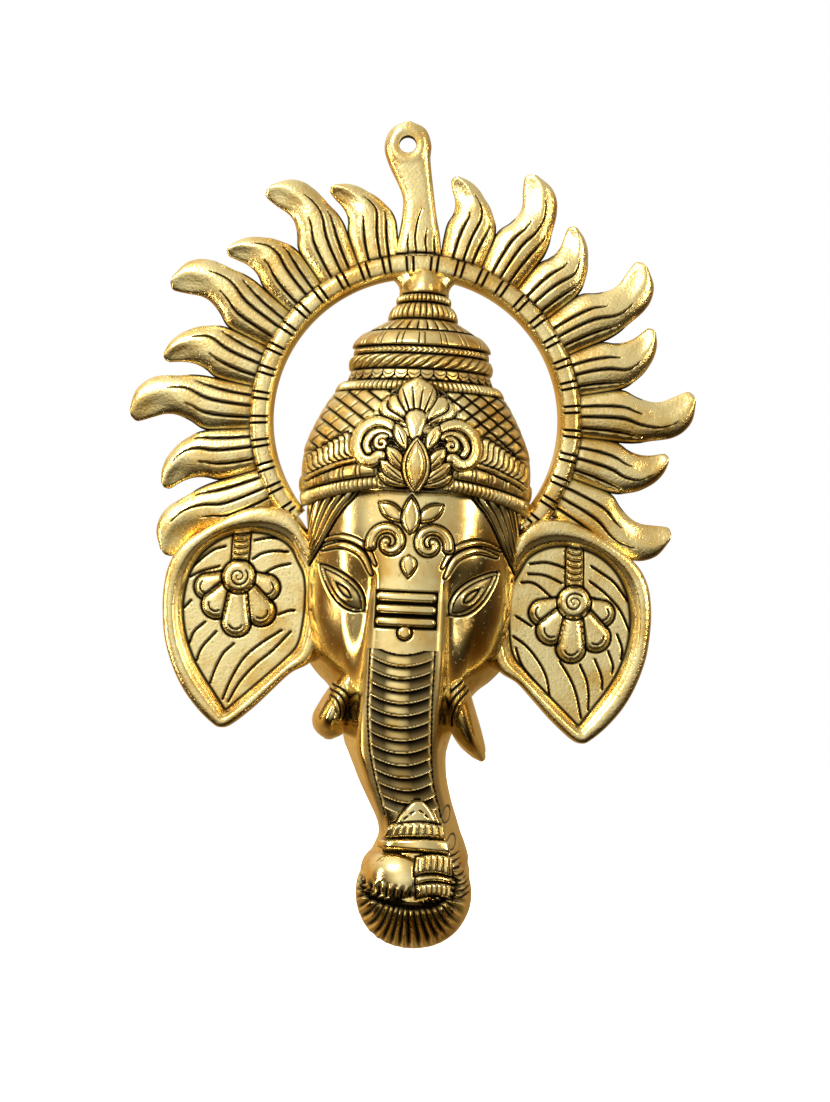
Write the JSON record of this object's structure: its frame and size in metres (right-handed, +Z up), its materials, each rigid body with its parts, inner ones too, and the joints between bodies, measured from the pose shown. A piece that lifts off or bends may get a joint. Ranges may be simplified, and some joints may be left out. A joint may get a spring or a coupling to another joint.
{
  "type": "wall sculpture",
  "caption": "Gold-plated cast metal wall relief of an elephant-headed figure in a tall crown, with ears, tusks and curled trunk, in a halo ring of flames with an eyelet on top.",
  "frame": {"origin": "centre of the eyelet's nail hole, on the back plane that lies against the wall", "axes": "+Z up the wall, +X to the right of someone facing the relief, +Y into the wall; the front faces -Y"},
  "size_m": [0.2086, 0.0482, 0.3021],
  "materials": {
    "gold_plate": "polished antique gold plating on cast aluminium alloy, with black patina left in the grooves"
  },
  "bodies": {
    "root": {"relief_casting": "gold_plate"}
  },
  "joints": []
}
